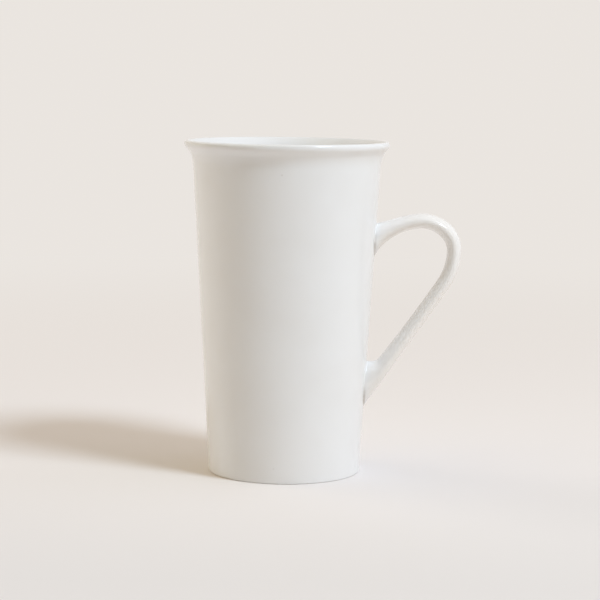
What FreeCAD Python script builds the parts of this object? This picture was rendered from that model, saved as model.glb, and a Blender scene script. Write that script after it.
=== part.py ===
import FreeCAD, Part
import math
import os

# Tall porcelain mug, cast and fired as one piece.
# Millimetres. +Z is up, the foot stands on z = 0 at the origin, and the handle points along +X.

# Body
height = 150.0
rim_diameter = 92.4
foot_diameter = 68.8
flare_overhang = 3.93
flare_height = 11.0
lip_thickness = 2.7
wall = 3.6

# Foot and floor
floor_thickness = 5.0
inner_corner_radius = 9.0
foot_edge_radius = 0.9
foot_ring_width = 4.6
foot_recess_depth = 1.6
foot_recess_corner = 0.7

# Handle: an oval strap that leaves the wall, rises a little, turns down and runs back
handle_top_height = 110.5
handle_bottom_height = 36.8
handle_reach = 75.9
handle_rise_deg = 11.2
handle_top_bend = 13.0
handle_side_bend = 28.0
strap_thickness = 6.5
strap_width = 13.0

# Handle roots: the shares are of the rise's length, and of that spread's length from the wall
root_width = 14.6
root_thickness = 7.1
upper_root_drop = 12.6
upper_root_spread = 0.75
upper_root_knee = 0.25
web_width = 4.0
web_bend = 2.2
root_fillet = 0.5

# Below this distance, two places count as one; the strap's curves along its length are cubic
fit_tolerance = 0.001
smoothness = 3

# The wall's outside is a straight slant from the foot to the neck, where the flare begins
foot_radius = foot_diameter / 2
rim_radius = rim_diameter / 2
lip_radius = lip_thickness / 2
neck_height = height - flare_height
wall_lean = math.atan2(rim_radius - flare_overhang - foot_radius, neck_height)


def point(x, z):
    return FreeCAD.Vector(x, 0, z)


def direction(angle):
    """The unit vector at an angle above +X, in the handle's plane."""
    return point(math.cos(angle), math.sin(angle))


def wall_point(z, depth=0.0):
    """The point at height z on the wall's outside, or a depth into the wall."""
    return point(foot_radius + z * math.tan(wall_lean) - depth / math.cos(wall_lean), z)


def line(start, end):
    return Part.LineSegment(start, end).toShape()


def arc(centre, radius, start_angle, end_angle):
    middle = centre + direction((start_angle + end_angle) / 2) * radius
    start = centre + direction(start_angle) * radius
    end = centre + direction(end_angle) * radius
    return Part.Arc(start, middle, end).toShape()


def angle_of(vector):
    return math.atan2(vector.z, vector.x)


def joined(edges):
    """Arcs and lines in order, with a straight line wherever one edge ends short of the next."""
    ends = [(edge.valueAt(edge.FirstParameter), edge.valueAt(edge.LastParameter)) for edge in edges]
    outline = []
    for index, edge in enumerate(edges):
        outline.append(edge)
        gap_start = ends[index][1]
        gap_end = ends[(index + 1) % len(ends)][0]
        if gap_start.distanceToPoint(gap_end) > fit_tolerance:
            outline.append(line(gap_start, gap_end))
    return Part.Wire(outline)


# Body of revolution, walked from the middle of the underside outwards, up and back down inside
outward = direction(-wall_lean)
lip_centre = point(rim_radius - lip_radius, height - lip_radius)


def flare_arc(neck, lip_side):
    """The arc that leaves the slant at its neck and runs smoothly into the round lip.

    lip_side is 1 for the outside, where the lip lies outside this arc's circle, and -1 for the inside.
    """
    offset = neck - lip_centre
    radius = (offset.dot(offset) - lip_radius ** 2) / (2 * (lip_side * lip_radius - offset.dot(outward)))
    centre = neck + outward * radius
    return centre, radius, angle_of(lip_centre - centre)


outer_neck = wall_point(neck_height)
inner_neck = outer_neck - outward * wall
outer_flare_centre, outer_flare_radius, outer_flare_end = flare_arc(outer_neck, 1)
inner_flare_centre, inner_flare_radius, inner_flare_end = flare_arc(inner_neck, -1)
neck_angle = math.pi - wall_lean

foot_edge_centre = wall_point(foot_edge_radius, foot_edge_radius)
ring_inner_radius = foot_radius - foot_ring_width
floor_height = foot_recess_depth + floor_thickness
inner_corner_centre = wall_point(floor_height + inner_corner_radius, wall + inner_corner_radius)
recess_edge_centre = point(ring_inner_radius + foot_recess_corner, foot_recess_corner)
recess_corner_centre = point(ring_inner_radius - foot_recess_corner, foot_recess_depth - foot_recess_corner)

section = joined([
    line(point(0, floor_height), point(0, foot_recess_depth)),
    arc(recess_corner_centre, foot_recess_corner, math.pi / 2, 0),
    arc(recess_edge_centre, foot_recess_corner, math.pi, math.pi * 1.5),
    arc(foot_edge_centre, foot_edge_radius, -math.pi / 2, -wall_lean),
    arc(outer_flare_centre, outer_flare_radius, neck_angle, outer_flare_end),
    arc(lip_centre, lip_radius, outer_flare_end - math.pi, inner_flare_end),
    arc(inner_flare_centre, inner_flare_radius, inner_flare_end, neck_angle),
    arc(inner_corner_centre, inner_corner_radius, -wall_lean, -math.pi / 2),
])
cup = Part.Face(section).revolve(point(0, 0), point(0, 1), 360)
cup.rotate(point(0, 0), point(0, 1), 180)  # so that the surface's own seam lies away from the handle


# Handle centreline in the plane y = 0: a straight rise, a tight bend, a slack bend and a straight run
strap_half = strap_thickness / 2
rise = math.radians(handle_rise_deg)
rise_direction = direction(rise)
rise_normal = direction(rise + math.pi / 2)
top_start = wall_point(handle_top_height)
run_end = wall_point(handle_bottom_height)
rise_end_x = handle_reach - handle_top_bend * (1 + math.sin(rise))
rise_end = top_start + rise_direction * ((rise_end_x - top_start.x) / math.cos(rise))
top_bend_centre = rise_end - rise_normal * handle_top_bend
side_bend_centre = point(handle_reach - handle_side_bend, top_bend_centre.z)
to_run_end = side_bend_centre - run_end
run_lean = math.atan2(to_run_end.z, -to_run_end.x) - math.acos(handle_side_bend / to_run_end.Length)
run_normal = direction(-run_lean)
run_direction = direction(-run_lean - math.pi / 2)
run_start = side_bend_centre + run_normal * handle_side_bend


def between(start, end, share):
    return start + (end - start) * share


def eased(start, corner, end, share):
    """A point on the smooth bend that leaves start towards the corner and comes from it into end."""
    return between(between(start, corner, share), between(corner, end, share), share)


def on_wall(start, heading):
    """Where the straight line from start along a heading meets the wall's outside."""
    return start + heading * ((wall_point(0) - start).dot(outward) / heading.dot(outward))


def oval(inner, outer, width):
    """One of the ovals that shape the strap: its middle, its half across and its half width."""
    return (outer + inner) * 0.5, (outer - inner) * 0.5, FreeCAD.Vector(0, width / 2, 0)


def strap_through(ovals):
    """A solid strap, oval all the way, drawn smoothly along a row of ovals."""
    poles = []
    weights = []
    for eighth in range(9):
        angle = eighth * math.pi / 4
        weight = 1 if eighth % 2 == 0 else math.cos(math.pi / 4)
        poles.append([middle + across * (math.cos(angle) / weight) + sideways * (math.sin(angle) / weight)
                      for middle, across, sideways in ovals])
        weights.append([weight] * len(ovals))
    spans = len(ovals) - smoothness
    surface = Part.BSplineSurface()
    surface.buildFromPolesMultsKnots(
        poles, [3, 2, 2, 2, 3], [smoothness + 1] + [1] * (spans - 1) + [smoothness + 1],
        [0, 1, 2, 3, 4], list(range(spans + 1)), False, False, 2, smoothness, weights)
    side = surface.toShape()
    caps = [Part.Face(Part.Wire(surface.vIso(end).toShape())) for end in (0, spans)]
    shell = Part.Shell([side] + caps)
    shell.sewShape()
    solid = Part.Solid(shell)
    if solid.Volume < 0:
        solid.reverse()
    return solid


def bend_oval(centre, radius, angle):
    """The plain strap's section at an angle round a bend."""
    inner = centre + direction(angle) * (radius - strap_half)
    outer = centre + direction(angle) * (radius + strap_half)
    return oval(inner, outer, strap_width)


# Upper root: the strap's underside spreads down the wall, and its top runs straight in
spread = (rise_end - top_start).Length * upper_root_spread
over_start = top_start + rise_direction * spread + rise_normal * strap_half
over_end = on_wall(over_start, rise_direction)
under_start = over_start - rise_normal * strap_thickness
under_knee = under_start - rise_direction * (spread * (1 - upper_root_knee))
under_end = wall_point(handle_top_height - upper_root_drop)


def upper_root_oval(share):
    """The section a share of the way from where the spread starts to the wall."""
    return oval(eased(under_start, under_knee, under_end, share),
                between(over_start, over_end, share),
                between(strap_width, root_width, share))


# Lower root: the run goes straight into the wall, and a level web closes the sharp corner above it
corner = on_wall(run_end - run_normal * (root_thickness / 2), run_direction)
web_height = corner.z + web_width / (math.tan(run_lean) - math.tan(wall_lean))
web_end = wall_point(web_height)
web_corner = web_end + point(web_width, 0)
web_start = web_corner - run_direction * web_bend
run_inner_start = run_start - run_normal * strap_half
run_outer_start = run_start + run_normal * strap_half
run_outer_web = web_start + run_normal * root_thickness
run_outer_end = on_wall(run_outer_web, run_direction)


def run_oval(share):
    """The section a share of the way from the side bend to the web."""
    return oval(between(run_inner_start, web_start, share),
                between(run_outer_start, run_outer_web, share),
                between(strap_width, root_width, share))


def lower_root_oval(share):
    """The section a share of the way from where the web starts to the wall."""
    return oval(eased(web_start, web_corner, web_end, share),
                between(run_outer_web, run_outer_end, share),
                root_width)


# The strap's hidden ends lie deep enough in the wall to be cut off clean
hidden_length = 3 * wall
under_heading = (under_end - under_knee).normalize()
upper_end = oval(under_end + under_heading * hidden_length,
                 over_end - rise_direction * hidden_length, root_width)
lower_end = oval(web_end - point(hidden_length, 0),
                 run_outer_end + run_direction * hidden_length, root_width)

quarters = (0, 0.25, 0.5, 0.75, 1)
eighths = [step / 8 for step in range(9)]
ovals = [upper_end]
ovals += [upper_root_oval(1 - share) for share in quarters]
ovals += [bend_oval(top_bend_centre, handle_top_bend, (rise + math.pi / 2) * (1 - share))
          for share in eighths]
ovals += [bend_oval(side_bend_centre, handle_side_bend, -run_lean * share)
          for share in quarters[1:]]
ovals += [run_oval(share) for share in quarters[1:-1]]
ovals += [lower_root_oval(share) for share in quarters]
ovals += [lower_end]
strap = strap_through(ovals)

# The strap stops half-way through the wall, so that nothing of it shows inside
wall_core = Part.makeCone(wall_point(0, wall / 2).x, wall_point(neck_height, wall / 2).x, neck_height)
mug = cup.fuse(strap.cut(wall_core))


def near_root(place):
    """Whether a place lies on the wall's outside, on the handle's side and no further round than it."""
    off_wall = math.hypot(place.x, place.y) - wall_point(place.z).x
    return abs(off_wall) < fit_tolerance and place.x > 0 and abs(place.y) < root_width


def at_root(edge):
    """Whether an edge is one where the strap's surface meets the wall."""
    shares = [between(edge.FirstParameter, edge.LastParameter, share) for share in quarters]
    return all(near_root(edge.valueAt(share)) for share in shares)


mug = mug.makeFillet(root_fillet, [edge for edge in mug.Edges if at_root(edge)])

os.makedirs("parts", exist_ok=True)
mug.exportStep("parts/mug.step")
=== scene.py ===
import math

import bpy
from mathutils import Matrix, Vector


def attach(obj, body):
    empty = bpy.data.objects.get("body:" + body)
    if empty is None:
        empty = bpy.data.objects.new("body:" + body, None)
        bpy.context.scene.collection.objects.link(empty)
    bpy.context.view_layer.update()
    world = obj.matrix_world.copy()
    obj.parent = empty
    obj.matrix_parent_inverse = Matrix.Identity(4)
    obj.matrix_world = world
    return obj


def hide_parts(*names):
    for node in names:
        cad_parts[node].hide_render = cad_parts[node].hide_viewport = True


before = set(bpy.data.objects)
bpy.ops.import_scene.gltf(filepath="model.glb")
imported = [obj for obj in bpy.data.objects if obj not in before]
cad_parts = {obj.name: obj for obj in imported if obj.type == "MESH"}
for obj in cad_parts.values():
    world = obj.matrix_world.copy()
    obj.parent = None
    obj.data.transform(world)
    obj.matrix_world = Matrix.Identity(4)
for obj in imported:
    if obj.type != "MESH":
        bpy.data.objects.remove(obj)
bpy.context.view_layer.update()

bpy.ops.object.select_all(action='DESELECT')


# Cup. The mug is slip-cast porcelain, so its wall is one even skin that leans outwards, flares to a
# full round lip and turns over a soft corner into the floor. The mould's turned shape is drawn here as
# half a section in the plane y = 0 and then spun round the axis, as the mould's master was.
MM = 0.001
FOOT_RADIUS, RIM_RADIUS, HEIGHT = 34.4, 46.2, 150.0
NECK_HEIGHT, NECK_RADIUS, WALL, LIP_RADIUS = 139.0, 42.27, 3.6, 1.35
RECESS, RING_INSIDE, RECESS_EDGE = 1.6, 29.8, 0.7
RING_END, FOOT_EDGE_CENTRE, FOOT_EDGE = 32.3, 33.83, 0.6
FLOOR, INNER_CORNER = 6.6, 9.0
LEAN = math.atan2(NECK_RADIUS - FOOT_RADIUS, NECK_HEIGHT)
FIRST_ROW, ROW_HEIGHT, ROWS = 3.5, 4.5, 30
AROUND = 64


def wall_radius(z):
    """The wall's outside radius at a height on the slant, in millimetres."""
    return FOOT_RADIUS + z * math.tan(LEAN)


def to_point(x, z):
    """Extrudes the selected vertex to a place in the plane y = 0, in millimetres."""
    global pen
    place = Vector((x, 0, z)) * MM
    bpy.ops.mesh.extrude_region_move(TRANSFORM_OT_translate={"value": place - pen})
    pen = place


def round_arc(centre_x, centre_z, radius, start, end, steps):
    """Extrudes the selected vertex round an arc, whose angles are in degrees above +X."""
    for step in range(steps + 1):
        angle = math.radians(start + (end - start) * step / steps)
        to_point(centre_x + radius * math.cos(angle), centre_z + radius * math.sin(angle))


def flare(neck_x, neck_z, side):
    """The flare's arc from the neck to the lip: its centre, radius and end angle in degrees.

    side is 1 for the outside, where the lip lies outside this arc's circle, and -1 for the inside.
    """
    lip = Vector((RIM_RADIUS - LIP_RADIUS, HEIGHT - LIP_RADIUS))
    out = Vector((math.cos(LEAN), -math.sin(LEAN)))
    offset = Vector((neck_x, neck_z)) - lip
    radius = (offset.dot(offset) - LIP_RADIUS ** 2) / (2 * (side * LIP_RADIUS - offset.dot(out)))
    centre = Vector((neck_x, neck_z)) + out * radius
    return centre, radius, math.degrees(math.atan2(lip.y - centre.y, lip.x - centre.x))


# the pen is a single vertex, which starts in the middle of the underside
bpy.ops.mesh.primitive_plane_add(size=4 * MM)
mug = bpy.context.object
mug.name = mug.data.name = "porcelain_mug"
bpy.ops.object.mode_set(mode='EDIT')
bpy.ops.mesh.merge(type='CENTER')
bpy.ops.transform.translate(value=(0, 0, RECESS * MM))
pen = Vector((0, 0, RECESS)) * MM

# underside: a shallow recess inside the ring that the mug stands on
for x in (10, 20, 26.5):
    to_point(x, RECESS)
round_arc(RING_INSIDE - RECESS_EDGE, RECESS - RECESS_EDGE, RECESS_EDGE, 90, 0, 2)
round_arc(RING_INSIDE + RECESS_EDGE, RECESS_EDGE, RECESS_EDGE, 180, 270, 2)
to_point(RING_END, 0)
round_arc(FOOT_EDGE_CENTRE, FOOT_EDGE, FOOT_EDGE, -90, -math.degrees(LEAN), 3)

# outside wall, in rows that suit the two places where the handle joins it
for row in range(ROWS):
    z = FIRST_ROW + ROW_HEIGHT * row
    to_point(wall_radius(z), z)

# flare, lip and the inside of the flare; the lip's outer edge is rolled a little fuller than a round
outer_flare, outer_radius, outer_stop = flare(NECK_RADIUS, NECK_HEIGHT, 1)
inner_flare, inner_radius, inner_stop = flare(NECK_RADIUS - WALL * math.cos(LEAN),
                                             NECK_HEIGHT + WALL * math.sin(LEAN), -1)
round_arc(*outer_flare, outer_radius, 180 - math.degrees(LEAN), outer_stop + 14, 5)
for x, z in ((45.5, 146.75), (45.98, 147.45), (46.2, 148.3),
             (46.08, 149.1), (45.6, 149.75), (44.85, 150)):
    to_point(x, z)
round_arc(RIM_RADIUS - LIP_RADIUS, HEIGHT - LIP_RADIUS, LIP_RADIUS, 112, inner_stop, 3)
round_arc(*inner_flare, inner_radius, inner_stop + 4, 180 - math.degrees(LEAN), 5)

# inside wall, corner and floor
for z in range(126, 18, -12):
    to_point(wall_radius(z) - WALL / math.cos(LEAN), z)
round_arc(wall_radius(FLOOR + INNER_CORNER) - (WALL + INNER_CORNER) / math.cos(LEAN),
          FLOOR + INNER_CORNER, INNER_CORNER, -math.degrees(LEAN), -90, 5)
for x in (15, 7, 0):
    to_point(x, FLOOR)

bpy.ops.mesh.select_all(action='SELECT')
bpy.ops.mesh.spin(steps=AROUND, angle=math.tau, center=(0, 0, 0), axis=(0, 0, 1))
bpy.ops.mesh.select_all(action='SELECT')
bpy.ops.mesh.remove_doubles(threshold=0.02 * MM)
bpy.ops.mesh.normals_make_consistent(inside=False)
bpy.ops.object.mode_set(mode='OBJECT')

# a smooth copy of the turned cup, which the handle's joints are laid on further down
bpy.ops.object.duplicate()
turned_cup = bpy.context.object
turned_cup.name = "turned_cup"
smooth = turned_cup.modifiers.new("smooth", 'SUBSURF')
smooth.levels = smooth.render_levels = 3
bpy.ops.object.modifier_apply(modifier=smooth.name)
bpy.ops.object.select_all(action='DESELECT')
mug.select_set(True)
bpy.context.view_layer.objects.active = mug


# Handle. It is cast with the cup in one mould: an oval strap that leaves the wall, rises a little,
# turns down in a tight bend and a slack one, and runs straight back. Its upper root spreads down the
# wall, a level web closes the sharp corner over the lower root, and glaze softens both joints.
HANDLE_TOP, HANDLE_BOTTOM, REACH, RISE = 110.5, 36.8, 75.9, math.radians(11.2)
TOP_BEND, SIDE_BEND = 13.0, 28.0
STRAP, STRAP_WIDTH, ROOT, ROOT_WIDTH = 6.5, 13.0, 7.1, 14.6
ROOT_DROP, SPREAD_SHARE, KNEE_SHARE, TOP_FALL = 12.0, 0.75, 0.25, math.radians(2)
WEB_WIDTH, WEB_BEND, WEB_RISE, GLAZE_SPREAD = 4.0, 2.2, 0.9, 0.25
STRAP_SIDES = 24
TURN = -1  # run from a script, transform.rotate turns the other way


def heading(angle):
    """The unit vector at an angle above +X, in the handle's plane."""
    return Vector((math.cos(angle), math.sin(angle)))


def on_wall(start, direction):
    """Where a line in the handle's plane meets the wall's outside."""
    out = heading(-LEAN)
    return start + direction * ((Vector((FOOT_RADIUS, 0)) - start).dot(out) / direction.dot(out))


def eased(start, corner, end, share):
    """A point on the smooth bend that leaves start towards the corner and comes from it into end."""
    return start.lerp(corner, share).lerp(corner.lerp(end, share), share)


def width_at(share):
    """The strap's width a share of the way from its plain part to a root."""
    return STRAP_WIDTH + (ROOT_WIDTH - STRAP_WIDTH) * share


def bend_oval(centre, radius, angle):
    """The plain strap's section round a bend: its inner and outer point, and its width."""
    out = heading(angle)
    return centre + out * (radius - STRAP / 2), centre + out * (radius + STRAP / 2), STRAP_WIDTH


# the handle's centreline and the lines of its two roots, in its own plane
top_start = Vector((wall_radius(HANDLE_TOP), HANDLE_TOP))
rise_along, rise_up = heading(RISE), heading(RISE + math.pi / 2)
rise_length = (REACH - TOP_BEND * (1 + math.sin(RISE)) - top_start.x) / math.cos(RISE)
top_centre = top_start + rise_along * rise_length - rise_up * TOP_BEND
side_centre = Vector((REACH - SIDE_BEND, top_centre.y))
run_end = Vector((wall_radius(HANDLE_BOTTOM), HANDLE_BOTTOM))
back = side_centre - run_end
run_lean = math.atan2(back.y, -back.x) - math.acos(SIDE_BEND / back.length)
run_out, run_along = heading(-run_lean), heading(-run_lean - math.pi / 2)
run_start = side_centre + run_out * SIDE_BEND

over_start = top_start + rise_along * rise_length * SPREAD_SHARE + rise_up * STRAP / 2
over_end = on_wall(over_start, heading(RISE + TOP_FALL))
under_start = over_start - rise_up * STRAP
under_knee = under_start - rise_along * rise_length * SPREAD_SHARE * (1 - KNEE_SHARE)
under_end = Vector((wall_radius(HANDLE_TOP - ROOT_DROP), HANDLE_TOP - ROOT_DROP))

corner = on_wall(run_end - run_out * ROOT / 2, run_along)
web_height = corner.y + WEB_WIDTH / (math.tan(run_lean) - math.tan(LEAN))
web_end = Vector((wall_radius(web_height + WEB_RISE), web_height + WEB_RISE))
web_corner = Vector((wall_radius(web_height) + WEB_WIDTH, web_height))
web_start = web_corner - run_along * WEB_BEND
web_corner.y += WEB_RISE / 2
outer_web = web_start + run_out * ROOT
outer_end = on_wall(outer_web, run_along)

# the ovals that the strap runs through, from the upper root to the lower one; glaze widens both ends
spread_up = heading(math.pi / 2 - LEAN) * GLAZE_SPREAD
spread_width = ROOT_WIDTH + 2 * GLAZE_SPREAD
ovals = [(under_end - spread_up, over_end + spread_up, spread_width)]
ovals += [(eased(under_start, under_knee, under_end, share), over_start.lerp(over_end, share),
           width_at(share)) for share in (0.975, 0.92, 0.8, 0.6, 0.3, 0)]
ovals += [bend_oval(top_centre, TOP_BEND, (RISE + math.pi / 2) * (1 - step / 8)) for step in range(9)]
ovals += [bend_oval(side_centre, SIDE_BEND, -run_lean * step / 4) for step in range(1, 5)]
ovals += [((run_start - run_out * STRAP / 2).lerp(web_start, share),
           (run_start + run_out * STRAP / 2).lerp(outer_web, share), width_at(share))
          for share in (0.25, 0.5, 0.75)]
ovals += [(eased(web_start, web_corner, web_end, share), outer_web.lerp(outer_end, share), ROOT_WIDTH)
          for share in (0, 0.25, 0.5, 0.75, 0.9, 0.97)]
ovals += [(web_end + spread_up, outer_end - spread_up, spread_width)]

# the cast strap is no set of true arcs: by the number of the oval, how far its inner and outer lines
# stand out from them, in millimetres
SETTLED = {3: (0, 0.1), 4: (0, 0.25), 5: (0.25, 0.45), 6: (0.5, 0.6), 7: (0.05, 0.4), 8: (-0.3, 0.05),
           9: (-0.55, -0.25), 10: (-0.7, -0.25), 11: (-0.73, -0.15), 12: (-0.62, -0.08), 13: (-0.42, 0),
           14: (-0.2, 0), 15: (-0.05, 0), 19: (0.1, 0), 20: (0.15, 0), 21: (0.3, 0), 22: (0.15, 0)}
for number, (inner_move, outer_move) in SETTLED.items():
    inner, outer, width = ovals[number]
    out = (outer - inner).normalized()
    ovals[number] = (inner + out * inner_move, outer + out * outer_move, width)

# the wall is opened where the roots land, six faces wide and six high
LOWER_OPENING, UPPER_OPENING = (26, 53), (93.5, 120.5)
bpy.ops.object.mode_set(mode='EDIT')
bpy.ops.mesh.select_mode(type='FACE')
bpy.ops.mesh.select_all(action='DESELECT')
bpy.ops.object.mode_set(mode='OBJECT')
for face in mug.data.polygons:
    x, y, z = face.center / MM
    on_outside = math.hypot(x, y) > wall_radius(z) - WALL / 2
    by_handle = x > 0 and abs(math.atan2(y, x)) < math.tau / AROUND * 3
    at_root = any(low < z < high for low, high in (LOWER_OPENING, UPPER_OPENING))
    face.select = on_outside and by_handle and at_root
bpy.ops.object.mode_set(mode='EDIT')
bpy.ops.mesh.delete(type='FACE')

# the strap, one loop of vertices after another: each is moved on, turned level, sized and leant
bpy.ops.mesh.select_mode(type='EDGE')
for number, (inner, outer, width) in enumerate(ovals):
    middle, across = (inner + outer) / 2 * MM, outer - inner
    pivot, lean = Vector((middle.x, 0, middle.y)), math.atan2(across.y, across.x)
    if number == 0:
        bpy.ops.mesh.primitive_circle_add(vertices=STRAP_SIDES, radius=MM, location=pivot)
        last_lean, last_across, last_width = 0, 2, 2
    else:
        bpy.ops.mesh.extrude_region_move(TRANSFORM_OT_translate={"value": pivot - last_pivot})
    bpy.ops.transform.rotate(value=TURN * last_lean, orient_axis='Y', center_override=pivot)
    bpy.ops.transform.resize(value=(across.length / last_across, width / last_width, 1),
                             center_override=pivot)
    bpy.ops.transform.rotate(value=-TURN * lean, orient_axis='Y', center_override=pivot)
    last_pivot, last_lean, last_across, last_width = pivot, lean, across.length, width


def wrap_joint():
    """Lays the joint's vertices on the wall's smooth surface, each by its share."""
    wrap = mug.modifiers.new("joint", 'SHRINKWRAP')
    wrap.target, wrap.vertex_group = turned_cup, "joint"
    bpy.ops.object.modifier_apply(modifier=wrap.name)


def lay_on_wall(points, after):
    """Lays vertices on the wall's smooth surface, and gives each the share that holds for it later."""
    mug.vertex_groups["joint"].add(points, 1, 'REPLACE')
    wrap_joint()
    mug.vertex_groups["joint"].add(points, after, 'REPLACE')


# both ends of the strap are laid on the wall and joined to their openings, as wet clay is; the strap's
# first points have taken the numbers of the deleted wall's, so its upper end counts as an opening's
# edge here, which moves the clay there by less than 0.2 mm
mug.vertex_groups.new(name="joint")
bpy.ops.mesh.select_all(action='DESELECT')
bpy.ops.mesh.select_non_manifold()
bpy.ops.object.mode_set(mode='OBJECT')
open_points = [vertex.index for vertex in mug.data.vertices if vertex.select]
first_of_strap = len(mug.data.vertices) - STRAP_SIDES * len(ovals)
lay_on_wall([point for point in open_points if point >= first_of_strap], 0)
mug.vertex_groups["joint"].add([point for point in open_points if point < first_of_strap], 1, 'REPLACE')
whole = len(mug.data.vertices)
for is_upper in (True, False):
    for edge in mug.data.edges:
        ends = [mug.data.vertices[point] for point in edge.vertices]
        edge.select = (all(end.index in open_points for end in ends)
                       and (ends[0].co.z > HEIGHT / 2 * MM) == is_upper)
    bpy.ops.object.mode_set(mode='EDIT')
    bpy.ops.mesh.bridge_edge_loops(number_cuts=2, interpolation='LINEAR')
    bpy.ops.mesh.select_all(action='DESELECT')
    bpy.ops.object.mode_set(mode='OBJECT')
lay_on_wall(range(whole, len(mug.data.vertices)), 1)

# smoothed all over, and the flat clay round the joints once more laid on the wall
smooth = mug.modifiers.new("smooth", 'SUBSURF')
smooth.levels = smooth.render_levels = 2
bpy.ops.object.modifier_apply(modifier=smooth.name)
wrap_joint()
bpy.ops.object.mode_set(mode='EDIT')
bpy.ops.mesh.select_all(action='SELECT')
bpy.ops.mesh.normals_make_consistent(inside=False)
bpy.ops.object.mode_set(mode='OBJECT')
bpy.ops.object.shade_smooth()
bpy.data.objects.remove(turned_cup)


# Glaze. White and glossy, poured on thin: it pools and ripples a little over the clay, and burns off
# to bare, slightly sandy clay on the ring that the mug stood on in the kiln.
WHITES = (0.865, 0.86, 0.85, 1), (0.885, 0.885, 0.88, 1)
CREAM, CREASE_SHADE_AND_PIT_BROWN, BARE_CLAY = (0.915, 0.885, 0.845, 1), (0.36, 0.29, 0.22, 1), (0.74, 0.68, 0.60, 1)
PINHOLES = ((-0.99, -42.13, 136.75, 0.3), (-3.66, -34.6, 7.01, 0.16),
            (-12.4, 38.3, 104.0, 0.22), (-33.9, 17.3, 62.0, 0.22))
glaze = bpy.data.materials.new("white_glaze")
glaze.use_nodes = True
nodes, links = glaze.node_tree.nodes, glaze.node_tree.links
skin = nodes["Principled BSDF"]
skin.inputs["IOR"].default_value = 1.5
place = nodes.new("ShaderNodeTexCoord").outputs["Object"]


def feed(socket, value):
    """Gives a socket a plain value, or links it to the output that feeds it."""
    if isinstance(value, bpy.types.NodeSocket):
        links.new(value, socket)
    else:
        socket.default_value = value


def reckoned(operation, *values):
    """A sum on values of the surface, each a node's output or a plain number."""
    node = nodes.new("ShaderNodeMath")
    node.operation = operation
    for socket, value in zip(node.inputs, values):
        feed(socket, value)
    return node.outputs["Value"]


def measured(operation, *values):
    """A sum on places or directions, as a number where the operation gives one."""
    node = nodes.new("ShaderNodeVectorMath")
    node.operation = operation
    for socket, value in zip(node.inputs, values):
        feed(socket, value)
    return node.outputs["Value" if operation in ('LENGTH', 'DISTANCE', 'DOT_PRODUCT') else "Vector"]


def along(axis, vector):
    """A place's or direction's own measure along one axis."""
    node = nodes.new("ShaderNodeSeparateXYZ")
    links.new(vector, node.inputs[0])
    return node.outputs[axis]


def share_of(value, start, end, low=0, high=1):
    """Runs from low to high while a value of the surface runs from start to end."""
    node = nodes.new("ShaderNodeMapRange")
    links.new(value, node.inputs["Value"])
    for name, number in (("From Min", start), ("From Max", end), ("To Min", low), ("To Max", high)):
        node.inputs[name].default_value = number
    return node.outputs["Result"]


def blended(share, first, second, kind='RGBA'):
    """A colour, or a number, that goes from the first to the second by a share."""
    node = nodes.new("ShaderNodeMix")
    node.data_type = kind
    for name, value in (("Factor", share), ("A", first), ("B", second)):
        feed(node.inputs[name], value)
    return node.outputs["Result"]


def cloudy(size, detail, low, high):
    """A soft noise over the piece, size in millimetres, that runs from low to high."""
    noise = nodes.new("ShaderNodeTexNoise")
    noise.inputs["Scale"].default_value = 1 / (size * MM)
    noise.inputs["Detail"].default_value = detail
    links.new(place, noise.inputs["Vector"])
    return share_of(noise.outputs["Fac"], 0.3, 0.7, low, high)


# how far a place stands out from the wall's slant, whichever way it lies from the axis
outwards, upwards = along("X", place), along("Z", place)
wall_here = reckoned('MULTIPLY_ADD', upwards, math.tan(LEAN), FOOT_RADIUS * MM)
off_axis = measured('LENGTH', measured('MULTIPLY', place, (1, 1, 0)))
off_wall = reckoned('SUBTRACT', off_axis, wall_here)

# painted crease shade: a thin brown line is painted along the creases round the handle's joints,
# strongest at the lower tip of each where the crease faces down; partly clay where the glaze pulls
# back, partly painted shade
near_wall = reckoned('MULTIPLY', share_of(reckoned('ABSOLUTE', off_wall), 1.2 * MM, 0.3 * MM),
                     share_of(outwards, 20 * MM, 25 * MM))
shaded_crease_and_pinholes = 0
for low, high in ((under_end.y, over_end.y), (outer_end.y, web_end.y)):
    from_middle = measured('SUBTRACT', place, (0, 0, (low + high) / 2 * MM))
    in_ovals = measured('MULTIPLY', from_middle, (0, 2 / (ROOT_WIDTH * MM), 2 / ((high - low) * MM)))
    from_crease = reckoned('ABSOLUTE', reckoned('SUBTRACT', measured('LENGTH', in_ovals), 1.02))
    crease = reckoned('MULTIPLY', share_of(from_crease, 0.1, 0.03),
                      share_of(upwards, (low + 12) * MM, (low + 2) * MM))
    shaded_crease_and_pinholes = reckoned('MAXIMUM', shaded_crease_and_pinholes, reckoned('MULTIPLY', crease, near_wall))

# and a few pinholes in the glaze, each at its place in millimetres and as deep as it shows
for x, y, z, depth in PINHOLES:
    from_hole = measured('DISTANCE', place, Vector((x, y, z)) * MM)
    shaded_crease_and_pinholes = reckoned('MAXIMUM', shaded_crease_and_pinholes, share_of(from_hole, 0.55 * MM, 0.2 * MM, 0, depth))

# the handle's colour is mixed a little towards cream, unevenly
on_handle = reckoned('MULTIPLY', share_of(off_wall, 0.3 * MM, 3 * MM),
                     share_of(upwards, 130 * MM, 122 * MM))
white = blended(cloudy(28, 2, 0, 1), *WHITES)
white = blended(reckoned('MULTIPLY', on_handle, cloudy(28, 2, 0.7, 1)), white, CREAM)
# the painted crease shade and the pinholes both turn the glaze brown here
white = blended(reckoned('MULTIPLY', shaded_crease_and_pinholes, cloudy(2.5, 2, 0.45, 0.85)), white, CREASE_SHADE_AND_PIT_BROWN)

# bare clay on the ring that the mug stands on: below the glaze line and outside the recess
bare = share_of(reckoned('ADD', upwards, cloudy(5, 3, -0.06 * MM, 0.06 * MM)), 0.2 * MM, 0.08 * MM)
feed(skin.inputs["Base Color"], blended(bare, white, BARE_CLAY))
feed(skin.inputs["Roughness"], blended(bare, cloudy(12, 3, 0.1, 0.16), 0.75, 'FLOAT'))

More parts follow.
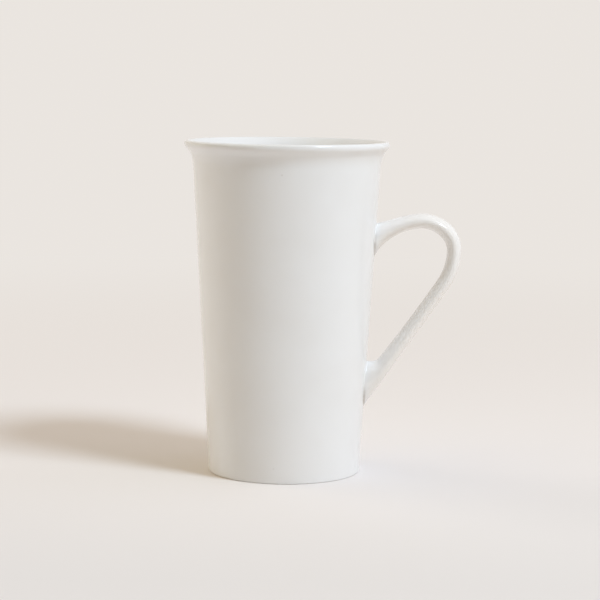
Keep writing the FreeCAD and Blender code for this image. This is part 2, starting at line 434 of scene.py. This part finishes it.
ripple = nodes.new("ShaderNodeBump")
ripple.inputs["Strength"].default_value = 0.35
ripple.inputs["Distance"].default_value = 0.06 * MM
links.new(cloudy(9, 1, 0, 1), ripple.inputs["Height"])
links.new(ripple.outputs["Normal"], skin.inputs["Normal"])

mug.data.materials.clear()
mug.data.materials.append(glaze)
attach(mug, "root")
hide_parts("mug")


# Studio: a pale table that runs on into an equally pale room, so the picture has no horizon. Far from
# the mug, the camera and the glaze's reflections see the table in the room's own even colour.
PALE = (0.825, 0.785, 0.745, 1)
bpy.ops.object.select_all(action='DESELECT')
bpy.ops.mesh.primitive_plane_add(size=16)
table = bpy.context.object
table.name = table.data.name = "pale_table"
paint = bpy.data.materials.new("pale_table")
paint.use_nodes = True
nodes, links = paint.node_tree.nodes, paint.node_tree.links
place = nodes.new("ShaderNodeTexCoord").outputs["Object"]
matt = nodes["Principled BSDF"]
matt.inputs["Roughness"].default_value = 0.9
matt.inputs["Specular IOR Level"].default_value = 0.2
# painted shade: the table's colour runs from lighter at the mug to darker in front of it, standing in
# for less light falling on the front
feed(matt.inputs["Base Color"],
     blended(share_of(along("Y", place), 0, -0.2), (0.885, 0.84, 0.81, 1), (0.81, 0.78, 0.76, 1)))
far_off = nodes.new("ShaderNodeEmission")
far_off.inputs["Color"].default_value = PALE
fade = share_of(measured('LENGTH', place), 0.12, 1.0)
fade.node.interpolation_type = 'SMOOTHSTEP'
rays = nodes.new("ShaderNodeLightPath").outputs
shown = nodes.new("ShaderNodeMixShader")
feed(shown.inputs[0], reckoned('MULTIPLY', fade,
                               reckoned('MAXIMUM', rays["Is Camera Ray"], rays["Is Glossy Ray"])))
links.new(matt.outputs[0], shown.inputs[1])
links.new(far_off.outputs[0], shown.inputs[2])
links.new(shown.outputs[0], nodes["Material Output"].inputs["Surface"])
table.data.materials.append(paint)


def toward(azimuth, elevation):
    """The direction at an azimuth from +X and an elevation, both in degrees."""
    azimuth, elevation = math.radians(azimuth), math.radians(elevation)
    return Vector((math.cos(azimuth) * math.cos(elevation), math.sin(azimuth) * math.cos(elevation),
                   math.sin(elevation)))


# the room is dim and warm, with soft glows overhead on both sides, a low one in front on the right and
# a low one behind: each has its azimuth and elevation, how narrow it is, and its colour
DIM = (0.13, 0.10, 0.06)
GLOWS = ((0, 60, 6, (1.0, 1.0, 1.13)), (180, 60, 6, (0.94, 0.79, 0.515)),
         (-30, 15, 12, (0.83, 0.68, 0.385)), (90, 15, 12, (0.49, 0.605, 0.745)))
room = bpy.data.worlds.new("soft_room")
bpy.context.scene.world = room
room.use_nodes = True
nodes, links = room.node_tree.nodes, room.node_tree.links
looking = nodes.new("ShaderNodeTexCoord").outputs["Generated"]
light = DIM
for azimuth, elevation, narrow, colour in GLOWS:
    facing = measured('DOT_PRODUCT', looking, toward(azimuth, elevation))
    glow = reckoned('POWER', reckoned('MAXIMUM', facing, 0), narrow)
    light = measured('MULTIPLY_ADD', glow, colour, light)

# the pale backdrop behind the mug, as the camera and the glaze's reflections see it
rays = nodes.new("ShaderNodeLightPath").outputs
backdrop = reckoned('MULTIPLY_ADD', share_of(along("Y", looking), -0.1, 0.4),
                    rays["Is Glossy Ray"], rays["Is Camera Ray"])
feed(nodes["Background"].inputs["Color"], blended(backdrop, light, PALE))

# a large cool lamp on the right, in front and above, and a weaker, nearly white one low behind on the
# left: each has its name, azimuth, elevation, distance and width in metres, power and colour
LAMPS = (("soft_lamp", -37, 47, 3.2, 0.9, 60, (0.70, 0.84, 1.0)),
         ("low_lamp", 155, 8, 2.4, 1.2, 17.5, (1.0, 0.99, 0.97)))
aim = Vector((0, 0, 70)) * MM
for name, azimuth, elevation, distance, width, power, colour in LAMPS:
    direction = toward(azimuth, elevation)
    bpy.ops.object.light_add(type='AREA', location=aim + direction * distance)
    lamp = bpy.context.object
    lamp.name = name
    lamp.data.shape = 'DISK'
    lamp.data.size = width
    lamp.data.energy = power
    lamp.data.color = colour
    lamp.rotation_euler = direction.to_track_quat('Z', 'Y').to_euler()
    lamp.visible_glossy = name == "soft_lamp"


# Camera: a long lens a little above the rim, turned slightly, as the photograph was taken. Its turn is
# a pan, a tilt and a roll, in degrees.
PAN, TILT, ROLL = 1.085, 83.193, 0.635
bpy.ops.object.camera_add(location=(23.6 * MM, -900.7 * MM, 185.5 * MM))
camera = bpy.context.object
camera.data.sensor_width = 36
camera.data.lens = 120.12
camera.data.clip_start = 0.01
turn = (Matrix.Rotation(math.radians(PAN), 4, 'Z') @ Matrix.Rotation(math.radians(TILT), 4, 'X')
        @ Matrix.Rotation(math.radians(ROLL), 4, 'Z'))
camera.rotation_euler = turn.to_euler()
bpy.context.scene.camera = camera
bpy.context.scene.view_settings.view_transform = "Standard"
